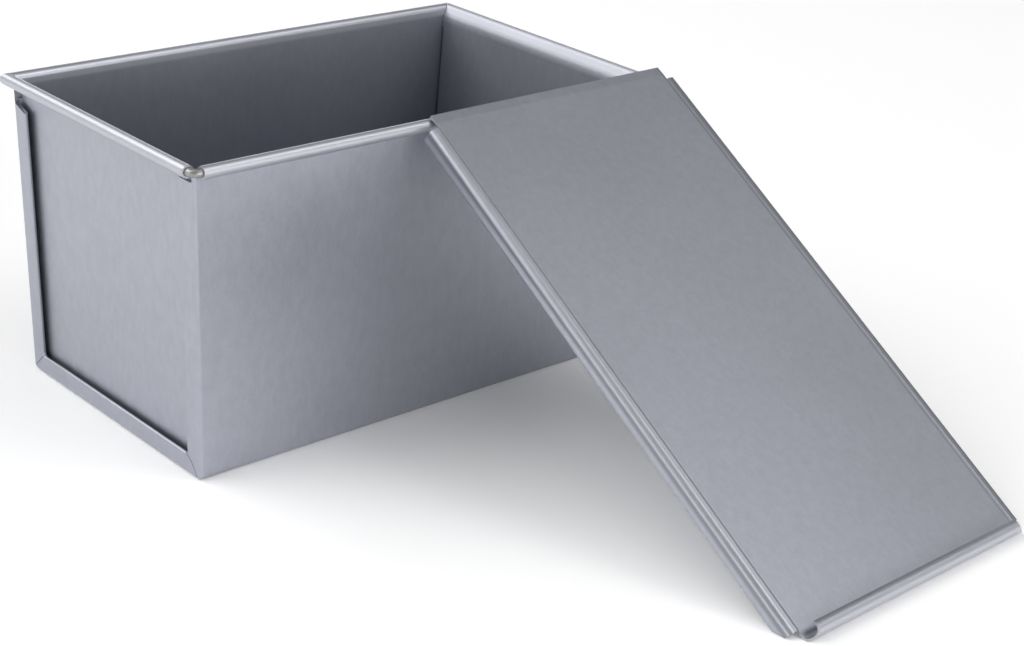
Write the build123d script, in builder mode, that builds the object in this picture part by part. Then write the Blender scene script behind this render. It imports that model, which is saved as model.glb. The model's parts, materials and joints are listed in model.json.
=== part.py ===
from build123d import *
import os
from math import asin, atan2, cos, degrees, hypot, radians, sin

# Pullman loaf pan of folded sheet with a wired rim, its lid off and leaning on the front rim.
# The origin is the centre of the pan's underside. X runs along the pan, Y to the back, Z up.

# Pan, measured over its rolled rims
pan_length = 212.0
pan_width = 123.0
pan_height = 117.0
end_lean = 4.8
side_lean = 1.1
floor_bend_radius = 2.4

# Sheet and rim wire
sheet = 0.7
wire_diameter = 3.0
wire_clearance = 0.1
wire_bend_radius = 2.6
roll_sweep = 300
rim_corner_cut = 3.1
mitre_gap = 0.5
neck_clearance = 0.3

# Hems that fold in from the trough over the edges of each end panel
hem_inset = 0.45
hem_layers_gap = 0.1
hem_bend_radius = 1.8
side_hem_width = 7.9
floor_hem_height = 7.8
hem_edge_share = 0.45
front_hem_drop = 3.6
back_hem_drop = 7.8
back_hem_slope = 2.7
seam_width = 0.35
seam_depth = 0.3

# End panels, set in behind the hems
panel_recess = 2.8
panel_bend_radius = 1.3
panel_flare = 30
panel_knee_radius = 8.0
seat_gap = 0.1

# Lid, with s up its slope from the lip and n out of its visible face
lid_side_clearance = 0.85
lid_height_clearance = 0.2
lid_extra_length = 9.8
tongue_length = 6.2
tip_bend_length = 3.7
tip_drop = 0.2
channel_start = 2.2
channel_hook = 2.8
crown_width = 4.4
crown_height = 0.35
crown_slope = 0.8
crown_drop = 2.6
crown_bend_radius = 2.1
side_spread = 0.6
side_bend_radius = 0.8
hook_bend_radius = 1.5
lip_inset = 4.75
lip_radius = 2.9
lip_sweep = 220
lip_mitre = 4.3

# How the lid leans: its foot on the table, its tongue on the front rim
tongue_overlap = 2.3
lid_turn = 0.72
lid_foot_x = 54.9
rest_gap = 0.15

overrun = 5.0

# Rim and wall places worked out from the sizes above
roll_radius = wire_diameter / 2 + wire_clearance + sheet
roll_middle = roll_radius - sheet / 2
rim_x = pan_length / 2 - roll_radius
rim_y = pan_width / 2 - roll_radius
rim_z = pan_height - roll_radius
side_top_y = rim_y - roll_radius + sheet
side_foot_y = side_top_y - side_lean
end_top_x = rim_x - hem_inset
end_foot_x = end_top_x - end_lean
end_slope = end_lean / rim_z
hem_thickness = 2 * sheet + hem_layers_gap
front_neck_z = rim_z - wire_diameter / 2 - neck_clearance
back_neck_z = rim_z - roll_radius - neck_clearance
front_roll_half = rim_x - rim_corner_cut
wire_room_radius = (wire_diameter + wire_clearance) / 2


def tub(side_inset, end_inset, bend_radius):
    """Solid tub shape of the pan, moved in from the outer faces of its walls, floor and ends."""
    with BuildPart() as block:
        with BuildSketch(Plane.YZ) as section:
            Polygon(
                (side_inset - side_foot_y, side_inset),
                (side_foot_y - side_inset, side_inset),
                (side_top_y - side_inset, rim_z),
                (side_inset - side_top_y, rim_z),
                align=None,
            )
            fillet(section.vertices().group_by(Axis.Y)[0], bend_radius)
        extrude(amount=pan_length / 2, both=True)
        with BuildSketch(Plane.XZ):
            Polygon(
                (end_inset - end_foot_x, 0),
                (end_foot_x - end_inset, 0),
                (end_top_x - end_inset, rim_z),
                (end_inset - end_top_x, rim_z),
                align=None,
            )
        extrude(amount=pan_width / 2, both=True, mode=Mode.INTERSECT)
    return block.part


def end_edges(block, face_orders):
    """Edges round the end faces of a tub, without the one along the open top."""
    chosen = ShapeList()
    for order in face_orders:
        chosen += block.faces().sort_by(Axis.X)[order].edges().sort_by(Axis.Z)[:-1]
    return chosen


def hem_edges(pan):
    """Long edges of the end openings, on both faces of the hems."""
    long_edges = pan.edges().filter_by(lambda edge: edge.length > 2 * side_hem_width)
    above_floor = long_edges.filter_by(lambda edge: edge.center().Z > floor_hem_height / 2)
    return above_floor.filter_by(lambda edge: abs(edge.center().Y) < side_foot_y - side_hem_width / 2)


def clear_rim_corners(neck_z, side, corner_cut):
    """Cut the walls down at the two rim corners of one long side."""
    with BuildSketch(Plane.XY.offset(neck_z)) as corners:
        with Locations((-rim_x, side * rim_y), (rim_x, side * rim_y)):
            Rectangle(2 * corner_cut, 2 * corner_cut)
    extrude(corners.sketch, amount=pan_height - neck_z, mode=Mode.SUBTRACT)


def wire_loop(radius):
    """Closed loop of round wire along the rim."""
    with BuildPart() as loop:
        with BuildLine(Plane.XY.offset(rim_z)):
            path = FilletPolyline(
                (rim_x, -rim_y),
                (rim_x, rim_y),
                (-rim_x, rim_y),
                (-rim_x, -rim_y),
                radius=wire_bend_radius,
                close=True,
            )
        with BuildSketch(Plane(origin=path @ 0, z_dir=path % 0)):
            Circle(radius)
        sweep()
    return loop.part


# Blocks that cut the back roll to a mitre at both its ends
with BuildPart() as back_roll_ends:
    with BuildSketch(Plane.XY.offset(back_neck_z)):
        for end in (-1, 1):
            Polygon(
                (end * (rim_x - overrun - mitre_gap / 2), rim_y - overrun),
                (end * (rim_x + overrun - mitre_gap / 2), rim_y + overrun),
                (end * (rim_x + 2 * overrun), rim_y + overrun),
                (end * (rim_x + 2 * overrun), rim_y - overrun),
                align=None,
            )
    extrude(amount=pan_height - back_neck_z)


# Trough sheet: floor and long walls folded from one blank, with hems at both ends
with BuildPart() as trough_sheet:
    add(tub(0, 0, floor_bend_radius))
    fillet(end_edges(trough_sheet, (0, -1)), hem_bend_radius)
    add(tub(sheet, hem_thickness, floor_bend_radius - sheet), mode=Mode.SUBTRACT)

    # The opening that each end panel shows through, its folded edges rounded
    with BuildSketch(Plane.YZ) as opening:
        Polygon(
            (side_hem_width - side_foot_y, floor_hem_height),
            (side_foot_y - side_hem_width, floor_hem_height),
            (side_top_y - side_hem_width, rim_z),
            (side_hem_width - side_top_y, rim_z),
            align=None,
        )
        fillet(opening.vertices().group_by(Axis.Y)[0], hem_thickness)
    extrude(amount=pan_length / 2, both=True, mode=Mode.SUBTRACT)
    fillet(hem_edges(trough_sheet), hem_edge_share * hem_thickness)

    # The side hems end below the rim, lower and on a slant at the back
    for side, drop, slope in ((-1, front_hem_drop, 0), (1, back_hem_drop, back_hem_slope)):
        with BuildSketch(Plane.YZ):
            Polygon(
                (side * (side_top_y - sheet), rim_z),
                (side * (side_top_y - sheet - side_lean * drop / rim_z), rim_z - drop),
                (side * (side_top_y - side_hem_width), rim_z - drop - slope),
                (side * (side_top_y - side_hem_width - overrun), rim_z - drop - slope),
                (side * (side_top_y - side_hem_width - overrun), rim_z),
                align=None,
            )
        extrude(amount=pan_length / 2, both=True, mode=Mode.SUBTRACT)
    clear_rim_corners(front_neck_z, -1, rim_corner_cut)
    clear_rim_corners(back_neck_z, 1, roll_radius + neck_clearance)

    # Top edges rolled outward over the wire, mitred at the back corners
    for side, half_run in ((-1, front_roll_half), (1, pan_length / 2)):
        with BuildSketch(Plane.YZ):
            with BuildLine():
                CenterArc((side * rim_y, rim_z), roll_middle, 90 + side * 90, -side * roll_sweep)
            trace(line_width=sheet)
        extrude(amount=half_run, both=True)
    add(back_roll_ends.part, mode=Mode.SUBTRACT)
    add(wire_loop(wire_room_radius), mode=Mode.SUBTRACT)

    # Seams where the floor hem meets the side hems
    for end in (-1, 1):
        end_face = Plane(origin=(end * end_foot_x, 0, 0), x_dir=(0, 1, 0), z_dir=(1, 0, -end * end_slope))
        with BuildSketch(end_face):
            with BuildLine():
                Line((side_foot_y - side_hem_width, floor_hem_height), (side_foot_y, 0))
            trace(line_width=seam_width)
            with BuildLine():
                SagittaArc(
                    (side_hem_width - side_foot_y, floor_hem_height),
                    (hem_bend_radius - side_foot_y, 0),
                    -hem_bend_radius / 2,
                )
            trace(line_width=seam_width)
        extrude(amount=-end * seam_depth, mode=Mode.SUBTRACT)

# Pocket in the outer side of the right end panel, open to the end and the top
panel_outer_top_x = end_top_x - panel_recess
with BuildPart() as panel_pocket:
    add(tub(2 * sheet + seat_gap, 0, panel_bend_radius))
    add(tub(0, panel_recess, floor_bend_radius), mode=Mode.SUBTRACT)
    split(bisect_by=Plane.YZ)

# Right end panel: a shallow tray whose flanges run out to the hems, its top flared to the rim
flare_x = sin(radians(panel_flare))
flare_z = cos(radians(panel_flare))
roll_start = (rim_x - roll_middle * flare_z, rim_z + roll_middle * flare_x)
panel_middle_top_x = panel_outer_top_x - sheet / 2
flare_rise = roll_start[0] - panel_middle_top_x - end_slope * (roll_start[1] - rim_z)
flare_length = flare_rise / (flare_x - end_slope * flare_z)
knee = (roll_start[0] - flare_length * flare_x, roll_start[1] - flare_length * flare_z)
tray_top_z = knee[1] - panel_knee_radius * flare_x
flare_half_width = side_top_y - sheet - seat_gap - side_lean * (rim_z - tray_top_z) / rim_z

with BuildPart() as right_end_panel:
    add(tub(sheet + seat_gap, hem_thickness + seat_gap, floor_bend_radius - sheet - seat_gap))
    add(tub(0, panel_recess + sheet, floor_bend_radius), mode=Mode.SUBTRACT)
    split(bisect_by=Plane.YZ)
    inner_face = right_end_panel.faces().sort_by(SortBy.AREA)[-2:].sort_by(Axis.X)[0]
    fillet(inner_face.edges().sort_by(Axis.Z)[:-1], panel_bend_radius)
    add(panel_pocket.part, mode=Mode.SUBTRACT)
    split(bisect_by=Plane.XY.offset(tray_top_z), keep=Keep.BOTTOM)

    # The flared top of the panel
    with BuildSketch(Plane.XZ):
        with BuildLine():
            FilletPolyline(
                (panel_middle_top_x - end_slope * (rim_z - tray_top_z), tray_top_z),
                knee,
                roll_start,
                radius=panel_knee_radius,
            )
        trace(line_width=sheet)
    extrude(amount=flare_half_width, both=True)
    clear_rim_corners(front_neck_z, -1, rim_corner_cut)

    # The top edge rolled over the wire, mitred at the back corner
    with BuildSketch(Plane.XZ.offset(-pan_width / 2)):
        with BuildLine():
            CenterArc((rim_x, rim_z), roll_middle, 180 - panel_flare, panel_flare - roll_sweep)
        trace(line_width=sheet)
    extrude(amount=pan_width / 2 + rim_y - rim_corner_cut)
    with BuildSketch(Plane.XY.offset(back_neck_z)):
        Polygon(
            (rim_x - roll_radius, rim_y - roll_radius - mitre_gap / 2),
            (rim_x + overrun, rim_y + overrun - mitre_gap / 2),
            (rim_x + overrun, rim_y + 2 * overrun),
            (rim_x - roll_radius, rim_y + 2 * overrun),
            align=None,
        )
    extrude(amount=pan_height - back_neck_z, mode=Mode.SUBTRACT)
    add(wire_loop(wire_room_radius), mode=Mode.SUBTRACT)

# Left end panel: the right one mirrored
with BuildPart() as left_end_panel:
    mirror(right_end_panel.part, about=Plane.YZ)

# Rim wire: one closed loop inside the rolled rims
with BuildPart() as rim_wire:
    add(wire_loop(wire_diameter / 2))

# Lid section sizes, so that its channels slide over the rims of the long walls
lid_half_width = pan_width / 2 + lid_side_clearance + sheet
lip_half_width = lid_half_width - lip_inset
crown_u = lid_half_width - side_spread - crown_width
channel_depth = 2 * roll_radius + lid_height_clearance + 2 * sheet
crown_top = crown_height - sheet / 2
end_round = channel_depth - sheet
lid_tip = pan_length + lid_extra_length
channel_end = lid_tip - tongue_length

# Lean at which the lip touches the table while the tongue laps over the front rim
rim_to_face = roll_radius + rest_gap + sheet + tip_drop
rim_reach = lid_tip - tongue_overlap
rim_drop = rim_to_face + lip_radius - sheet
lean_sine = (rim_z - lip_radius) / hypot(rim_reach, rim_drop)
lean_angle = degrees(asin(lean_sine) + atan2(rim_drop, rim_reach))

# Axes of the leaning lid: across it, up its slope, and out of its visible face
across = Vector(cos(radians(lid_turn)), sin(radians(lid_turn)), 0)
level = Vector(-sin(radians(lid_turn)), cos(radians(lid_turn)), 0)
upslope = level * cos(radians(lean_angle)) + Vector(0, 0, 1) * sin(radians(lean_angle))
outward = across.cross(upslope)

# Place of the lid's foot, where its flat ends and the lip begins
lid_foot_z = lip_radius - (lip_radius - sheet) * outward.Z
rim_rise = (front_roll_half - lid_foot_x) * outward.X + (rim_z - lid_foot_z) * outward.Z
lid_foot_y = (rim_to_face + rim_rise) / outward.Y - rim_y
lid_origin = Vector(lid_foot_x, lid_foot_y, lid_foot_z)
lengthwise = Plane(origin=lid_origin, x_dir=upslope, z_dir=across)
crosswise = Plane(origin=lid_origin + upslope * channel_end, x_dir=across, z_dir=-upslope)
foot_section = Plane(origin=lid_origin, x_dir=across, z_dir=-upslope)

# Lid: a flat deck with a bent tip and a curled lip, and a channel down each long side
with BuildPart() as lid:
    with BuildSketch(lengthwise):
        with BuildLine():
            Line((lid_tip, -tip_drop - sheet / 2), (lid_tip - tip_bend_length, -sheet / 2))
            Line((lid_tip - tip_bend_length, -sheet / 2), (0, -sheet / 2))
        trace(line_width=sheet)
    extrude(amount=crown_u, both=True)
    with BuildSketch(lengthwise):
        with BuildLine():
            Line((channel_start, -sheet / 2), (0, -sheet / 2))
            CenterArc((0, lip_radius - sheet), lip_radius - sheet / 2, 270, -lip_sweep)
        trace(line_width=sheet)
    extrude(amount=lip_half_width, both=True)

    # The lip's ends slant inward to its free edge
    for side in (-1, 1):
        with BuildSketch(foot_section):
            Polygon(
                (side * lip_half_width, 0),
                (side * (lip_half_width - lip_mitre), 2 * lip_radius),
                (side * (lip_half_width + overrun), 2 * lip_radius),
                (side * (lip_half_width + overrun), 0),
                align=None,
            )
        extrude(amount=2 * lip_radius, both=True, mode=Mode.SUBTRACT)

    # Each channel: a raised crown, a side that drops and spreads, and a hook under the rim
    for side in (-1, 1):
        with BuildSketch(crosswise):
            with BuildLine():
                FilletPolyline(
                    (side * (crown_u - crown_slope), -sheet / 2),
                    (side * crown_u, -sheet / 2),
                    (side * (crown_u + crown_slope), crown_top),
                    (side * (lid_half_width - side_spread - sheet / 2), crown_top),
                    (side * (lid_half_width - side_spread - sheet / 2), crown_top - crown_drop),
                    (side * (lid_half_width - sheet / 2), sheet / 2 - channel_depth),
                    (side * (lid_half_width - channel_hook), sheet / 2 - channel_depth),
                    radius=[
                        side_bend_radius,
                        side_bend_radius,
                        crown_bend_radius - sheet / 2,
                        side_bend_radius,
                        hook_bend_radius - sheet / 2,
                    ],
                )
            trace(line_width=sheet)
        extrude(amount=channel_end - channel_start)

    # The channel ends are rounded off above the lip
    with BuildSketch(lengthwise):
        with Locations((channel_start + end_round / 2, end_round / 2 - channel_depth)):
            Rectangle(end_round, end_round)
        with Locations((channel_start + end_round, end_round - channel_depth)):
            Circle(end_round, mode=Mode.SUBTRACT)
    extrude(amount=lid_half_width + overrun, both=True, mode=Mode.SUBTRACT)

os.makedirs("parts", exist_ok=True)

trough_sheet.part.label = "trough_sheet"
export_step(trough_sheet.part, "parts/trough_sheet.step")
left_end_panel.part.label = "left_end_panel"
export_step(left_end_panel.part, "parts/left_end_panel.step")
right_end_panel.part.label = "right_end_panel"
export_step(right_end_panel.part, "parts/right_end_panel.step")
rim_wire.part.label = "rim_wire"
export_step(rim_wire.part, "parts/rim_wire.step")
lid.part.label = "lid"
export_step(lid.part, "parts/lid.step")
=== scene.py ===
import json
from math import acos, atan2, cos, radians, sin

import bpy
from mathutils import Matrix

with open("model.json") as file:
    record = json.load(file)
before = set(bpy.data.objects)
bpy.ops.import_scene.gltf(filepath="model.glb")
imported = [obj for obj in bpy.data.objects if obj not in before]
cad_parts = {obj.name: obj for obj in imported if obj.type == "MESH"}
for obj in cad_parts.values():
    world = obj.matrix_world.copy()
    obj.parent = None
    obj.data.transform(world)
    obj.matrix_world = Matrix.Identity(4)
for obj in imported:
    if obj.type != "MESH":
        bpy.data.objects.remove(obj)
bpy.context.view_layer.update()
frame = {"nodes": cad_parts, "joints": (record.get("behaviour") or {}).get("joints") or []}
nodes = frame["nodes"]

# Folded satin sheet pan with a wired rim, its lid leaning on the front rim.
# Lengths are metres, colours are linear.

# Camera, at the photograph's angle, its turn in degrees
camera_place = (-0.44485, -0.56908, 0.33511)
camera_turn = (66.3405, -3.8047, -42.0245)
camera_lens = 70.361

# Dark and light tints of the sheet and the wire, between which the mottle goes
sheet_tints = ((0.371, 0.383, 0.433, 1), (0.439, 0.452, 0.510, 1))
wire_tints = ((0.29, 0.29, 0.28, 1), (0.34, 0.34, 0.34, 1))

# Satin finish
metal_share = 0.85
satin_roughness = 0.39
matt_roughness = 0.50
cloud_roughness = 0.04
grain_roughness = 0.03
grain_relief = 0.1
grain_height = 0.00005

# Patterns in the finish: scale, detail and roughness of each noise
mottle_noise = (200, 5, 0.6)
grain_noise = (900, 3, 0.6)
cloud_noise = (9, 3, 0.5)
noise_middle = (0.3, 0.7)
streak = (1.6, 1.6, 0.8)
mottle_share = 0.6
grain_share = 0.4

# Painted highlight and painted shade on the sheet
painted_highlight_tint = (0.52, 0.53, 0.58, 1)
rubbed_roughness = 0.05
painted_shade_tint = (0.27, 0.278, 0.312, 1)

# Painted highlight on the rolled rim: heights where it starts and where it is full
rim_edge = (0.1122, 0.1132)

# The lid's own plane. The lid lifts square to its face, so its joint's axis tells how it leans.
lid_foot = (0.0549, -0.2476, 0.0010)
lid_face = frame["joints"][0]["axis"]
lid_lean = acos(lid_face[2])
lid_turn = atan2(lid_face[0], -lid_face[1])

# Painted highlight and painted shade on the lid: where each starts and where it is full, in that plane
left_crown_edge = (-0.0571, -0.0581)
left_side_edge = (-0.0605, -0.0612)
right_crown_edge = (0.0568, 0.0576)
crown_top_edge = (-0.0016, -0.0006)
shoulder_upper_edge = (-0.0006, -0.0016)
shoulder_lower_edge = (-0.0036, -0.0026)
lip_edge = (0.0004, -0.0006)
channel_foot_edge = (-0.0002, 0.0008)
crown_highlight_share = 0.35

# Table and light
plain_white = (1, 1, 1, 1)
table_size = 6.0
table_shade = (0.95, 0.95, 0.95, 1)
table_glow = 0.10
horizon_band = (0.02, 0.2)
horizon_level = 1.0
sky_level = 0.15
lamp_distance = 3.0


def feed(tree, socket, source):
    """Links a socket to another node's output, or sets it to a plain value."""
    if isinstance(source, bpy.types.NodeSocket):
        tree.links.new(source, socket)
    else:
        socket.default_value = source


def add_node(tree, kind, settings=None, **sources):
    """A shader node with its settings made and its named inputs fed."""
    node = tree.nodes.new(kind)
    for name, setting in (settings or {}).items():
        setattr(node, name, setting)
    for name, source in sources.items():
        feed(tree, node.inputs[name.replace("_", " ")], source)
    return node


def combine(tree, how, first, second):
    """Two values joined by a Math node's operation."""
    node = add_node(tree, "ShaderNodeMath", {"operation": how})
    feed(tree, node.inputs[0], first)
    feed(tree, node.inputs[1], second)
    return node.outputs[0]


def spread(tree, value, low, high, to_low, to_high):
    """A value stretched from one range to another, and held inside it."""
    ends = {"From_Min": low, "From_Max": high, "To_Min": to_low, "To_Max": to_high}
    return add_node(tree, "ShaderNodeMapRange", Value=value, **ends).outputs["Result"]


def fade(tree, value, edge, most=1):
    """Zero up to an edge's first place, and most past its second."""
    return spread(tree, value, *edge, 0, most)


def noise(tree, place, scale, detail, roughness):
    """Noise read on the piece's own coordinates."""
    sizes = {"Scale": scale, "Detail": detail, "Roughness": roughness}
    return add_node(tree, "ShaderNodeTexNoise", Vector=place, **sizes).outputs["Fac"]


def tinted(tree, share, below, above):
    """A colour that goes from one to another as the share goes from zero to one."""
    mix = add_node(tree, "ShaderNodeMix", {"data_type": "RGBA"}, Factor=share, A=below, B=above)
    return mix.outputs["Result"]


def split(tree, place):
    """The three parts of a place."""
    return add_node(tree, "ShaderNodeSeparateXYZ", Vector=place).outputs


def rim_highlight_mask(tree, place):
    """Share of painted highlight: one on the rolled rim, zero on the sheet below it."""
    return fade(tree, split(tree, place)["Z"], rim_edge)


def lid_places(tree, place):
    """A place on the lid as its distances across it, up its slope and out of its face."""
    flat = add_node(tree, "ShaderNodeMapping", {"vector_type": "TEXTURE"}, Vector=place, Location=lid_foot)
    flat.inputs["Rotation"].default_value = (lid_lean, 0, lid_turn)
    return split(tree, flat.outputs["Vector"])


def lid_highlight_mask(tree, place):
    """Share of painted highlight: one on the lid's curled lip, and part of that on top of the left
    channel's crown.
    """
    across, upslope, outward = lid_places(tree, place)
    crown = fade(tree, across, left_crown_edge, crown_highlight_share)
    top = fade(tree, outward, crown_top_edge)
    lip = fade(tree, upslope, lip_edge)
    return combine(tree, "MAXIMUM", combine(tree, "MULTIPLY", crown, top), lip)


def lid_shade_mask(tree, place):
    """Share of painted shade: one all over the right channel and along the left one's shoulder, clear of
    the lip.
    """
    across, upslope, outward = lid_places(tree, place)
    right = fade(tree, across, right_crown_edge)
    side = fade(tree, across, left_side_edge)
    upper = fade(tree, outward, shoulder_upper_edge)
    lower = fade(tree, outward, shoulder_lower_edge)
    shoulder = combine(tree, "MULTIPLY", combine(tree, "MULTIPLY", upper, lower), side)
    clear = fade(tree, upslope, channel_foot_edge)
    return combine(tree, "MULTIPLY", combine(tree, "MAXIMUM", right, shoulder), clear)


def satin_metal(name, tints, roughness, painted_highlight=None, painted_shade=None):
    """Satin metal with soft mottle, fine rolled grain and a little cloud in the gloss.

    Where the painted shade is one, it is darker. Where the painted highlight is one, it is painted
    brighter and made more matt.
    """
    finish = bpy.data.materials.new(name)
    finish.use_nodes = True
    tree = finish.node_tree
    place = tree.nodes.new("ShaderNodeTexCoord").outputs["Object"]
    along = add_node(tree, "ShaderNodeMapping", Vector=place, Scale=streak).outputs["Vector"]
    mottle = noise(tree, along, *mottle_noise)
    grain = noise(tree, along, *grain_noise)
    clouds = noise(tree, place, *cloud_noise)

    mottle_part = spread(tree, mottle, *noise_middle, 0, mottle_share)
    grain_part = spread(tree, grain, *noise_middle, 0, grain_share)
    colour = tinted(tree, combine(tree, "ADD", mottle_part, grain_part), *tints)

    cloudy = spread(tree, clouds, *noise_middle, roughness - cloud_roughness, roughness + cloud_roughness)
    grainy = spread(tree, grain, *noise_middle, -grain_roughness, grain_roughness)
    gloss = combine(tree, "ADD", cloudy, grainy)

    # Painted shade: the colour is darkened towards a shade tint where the mask is one
    if painted_shade:
        colour = tinted(tree, painted_shade(tree, place), colour, painted_shade_tint)
    # Painted highlight: the colour is lightened towards a highlight tint where the mask is one, and the
    # gloss is made rougher there
    if painted_highlight:
        highlight_share = painted_highlight(tree, place)
        colour = tinted(tree, highlight_share, colour, painted_highlight_tint)
        gloss = combine(tree, "ADD", gloss, combine(tree, "MULTIPLY", highlight_share, rubbed_roughness))

    bump = add_node(tree, "ShaderNodeBump", Strength=grain_relief, Distance=grain_height, Height=grain)
    shader = tree.nodes["Principled BSDF"]
    shader.inputs["Metallic"].default_value = metal_share
    tree.links.new(colour, shader.inputs["Base Color"])
    tree.links.new(gloss, shader.inputs["Roughness"])
    tree.links.new(bump.outputs["Normal"], shader.inputs["Normal"])
    return finish


def white_matt(name):
    """Matt white with a faint glow, seen by the camera, in reflections and through clear pieces only."""
    finish = bpy.data.materials.new(name)
    finish.use_nodes = True
    tree = finish.node_tree
    tree.nodes.remove(tree.nodes["Principled BSDF"])
    rays = tree.nodes.new("ShaderNodeLightPath").outputs
    seen = combine(tree, "MAXIMUM", rays["Is Camera Ray"], rays["Is Glossy Ray"])
    shown = combine(tree, "MAXIMUM", seen, rays["Is Transmission Ray"])
    level = combine(tree, "MULTIPLY", shown, table_glow)
    glow = add_node(tree, "ShaderNodeEmission", Color=plain_white, Strength=level)
    matt = add_node(tree, "ShaderNodeBsdfDiffuse", Color=table_shade)
    both = tree.nodes.new("ShaderNodeAddShader")
    tree.links.new(matt.outputs[0], both.inputs[0])
    tree.links.new(glow.outputs[0], both.inputs[1])
    tree.links.new(both.outputs[0], tree.nodes["Material Output"].inputs["Surface"])
    return finish


def dress(piece, finish):
    """Gives a piece one finish all over."""
    piece.data.materials.clear()
    piece.data.materials.append(finish)


def softbox(name, azimuth, elevation, size, power):
    """A soft rectangular lamp that faces the pan.

    Its azimuth goes round from +X towards +Y and its elevation up from the table, both in degrees.
    """
    turn, rise = radians(azimuth), radians(elevation)
    way = (cos(rise) * cos(turn), cos(rise) * sin(turn), sin(rise))
    place = [lamp_distance * part for part in way]
    aim = (radians(90) - rise, 0, turn + radians(90))
    bpy.ops.object.light_add(type="AREA", location=place, rotation=aim)
    lamp = bpy.context.object
    lamp.name = name
    lamp.visible_camera = False
    lamp.data.shape = "RECTANGLE"
    lamp.data.size, lamp.data.size_y = size
    lamp.data.energy = power


# Camera
turned = [radians(angle) for angle in camera_turn]
bpy.ops.object.camera_add(location=camera_place, rotation=turned)
camera = bpy.context.object
camera.name = "camera"
camera.data.lens = camera_lens
bpy.context.scene.camera = camera

# Finishes of the pieces
# The rolled rims of the trough and end panels get a painted highlight
dress(nodes["trough_sheet"], satin_metal("trough_sheet_satin", sheet_tints, satin_roughness, rim_highlight_mask))
dress(nodes["left_end_panel"], satin_metal("left_panel_satin", sheet_tints, satin_roughness, rim_highlight_mask))
dress(nodes["right_end_panel"], satin_metal("right_panel_satin", sheet_tints, matt_roughness, rim_highlight_mask))
# The lid gets a painted highlight on its lip and left crown, and painted shade on its right channel and
# left shoulder
dress(nodes["lid"], satin_metal("lid_satin", sheet_tints, satin_roughness, lid_highlight_mask, lid_shade_mask))
dress(nodes["rim_wire"], satin_metal("wire_bright", wire_tints, satin_roughness))

# Table
bpy.ops.object.select_all(action="DESELECT")
bpy.ops.mesh.primitive_plane_add(size=table_size)
table = bpy.context.object
table.name = "table"
dress(table, white_matt("white_table"))

# Sky, bright at the horizon and dim above
world = bpy.context.scene.world or bpy.data.worlds.new("studio")
bpy.context.scene.world = world
world.use_nodes = True
tree = world.node_tree
way = tree.nodes.new("ShaderNodeTexCoord").outputs["Generated"]
sky = tree.nodes["Background"]
sky.inputs["Color"].default_value = plain_white
level = spread(tree, split(tree, way)["Z"], *horizon_band, horizon_level, sky_level)
tree.links.new(level, sky.inputs["Strength"])

# Lamps: azimuth, elevation, size and watts of each
softbox("key_softbox", 135, 46, (3.2, 2.4), 70)
softbox("front_right_softbox", -50, 50, (1.6, 1.4), 19.5)
softbox("front_low_softbox", -88, 14, (2.4, 1.6), 42)
softbox("right_softbox", 0, 42, (1.8, 2.5), 2)
softbox("back_low_softbox", 45, 10, (2.5, 1.0), 13)
softbox("left_low_softbox", 180, 10, (2.5, 1.0), 12)
softbox("top_softbox", 0, 90, (2.4, 2.4), 10)

bpy.context.scene.view_settings.view_transform = "Standard"
